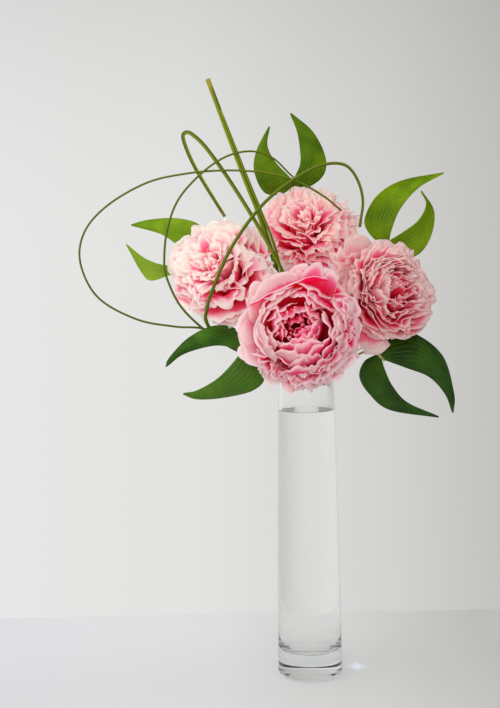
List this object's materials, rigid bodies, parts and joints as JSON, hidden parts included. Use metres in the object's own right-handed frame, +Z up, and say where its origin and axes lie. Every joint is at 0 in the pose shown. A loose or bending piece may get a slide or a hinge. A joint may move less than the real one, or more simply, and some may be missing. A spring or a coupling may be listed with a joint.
{
  "type": "ikebana flower arrangement in a glass vase",
  "caption": "Flower arrangement of double peonies, split hosta leaves and looped grass blades standing in a tall tapered glass vase filled with water.",
  "frame": {"origin": "centre of the vase's base, on the surface that it stands on", "axes": "+Z up along the vase's axis, -Y towards the front flower, which faces the viewer, +X to the viewer's right"},
  "size_m": [0.3679, 0.1905, 0.5964],
  "materials": {
    "clear_glass": "clear blown glass, polished, with a heavy base",
    "water": "clear still water",
    "stem_green": "matt green cut stem",
    "calyx_green": "matt green receptacle and sepals",
    "guard_petal_pale_pink": "thin satin petal, pale pink fading to cream at its edge",
    "inner_petal_pink": "thin ruffled petals, deep rose in the folds and pale at the edges",
    "heart_petal_rose": "small crumpled petals, deep rose",
    "leaf_light_green": "satin young leaf with pale parallel veins",
    "leaf_dark_green": "satin mature leaf with pale parallel veins",
    "grass_green": "satin ribbed blade, olive towards its tip"
  },
  "bodies": {
    "root": {"grass_big_loop": "grass_green", "grass_folded": "grass_green", "grass_front_arch": "grass_green", "grass_side_loop": "grass_green", "grass_upright_slim": "grass_green", "grass_upright_wide": "grass_green", "leaf_left": "leaf_light_green", "leaf_lower_left": "leaf_dark_green", "leaf_lower_right": "leaf_dark_green", "leaf_top": "leaf_light_green", "leaf_upper_right": "leaf_light_green", "peony_front_calyx": "calyx_green", "peony_front_guard_petal_1": "guard_petal_pale_pink", "peony_front_guard_petal_2": "guard_petal_pale_pink", "peony_front_guard_petal_3": "guard_petal_pale_pink", "peony_front_guard_petal_4": "guard_petal_pale_pink", "peony_front_guard_petal_5": "guard_petal_pale_pink", "peony_front_guard_petal_6": "guard_petal_pale_pink", "peony_front_heart": "heart_petal_rose", "peony_front_petal_bowl": "inner_petal_pink", "peony_front_stem": "stem_green", "peony_left_calyx": "calyx_green", "peony_left_guard_petal_1": "guard_petal_pale_pink", "peony_left_guard_petal_2": "guard_petal_pale_pink", "peony_left_guard_petal_3": "guard_petal_pale_pink", "peony_left_guard_petal_4": "guard_petal_pale_pink", "peony_left_guard_petal_5": "guard_petal_pale_pink", "peony_left_guard_petal_6": "guard_petal_pale_pink", "peony_left_heart": "heart_petal_rose", "peony_left_petal_bowl": "inner_petal_pink", "peony_left_stem": "stem_green", "peony_right_calyx": "calyx_green", "peony_right_guard_petal_1": "guard_petal_pale_pink", "peony_right_guard_petal_2": "guard_petal_pale_pink", "peony_right_guard_petal_3": "guard_petal_pale_pink", "peony_right_guard_petal_4": "guard_petal_pale_pink", "peony_right_guard_petal_5": "guard_petal_pale_pink", "peony_right_guard_petal_6": "guard_petal_pale_pink", "peony_right_heart": "heart_petal_rose", "peony_right_petal_bowl": "inner_petal_pink", "peony_right_stem": "stem_green", "peony_top_calyx": "calyx_green", "peony_top_guard_petal_1": "guard_petal_pale_pink", "peony_top_guard_petal_2": "guard_petal_pale_pink", "peony_top_guard_petal_3": "guard_petal_pale_pink", "peony_top_guard_petal_4": "guard_petal_pale_pink", "peony_top_guard_petal_5": "guard_petal_pale_pink", "peony_top_guard_petal_6": "guard_petal_pale_pink", "peony_top_heart": "heart_petal_rose", "peony_top_petal_bowl": "inner_petal_pink", "peony_top_stem": "stem_green", "vase_glass": "clear_glass", "water": "water"}
  },
  "joints": []
}
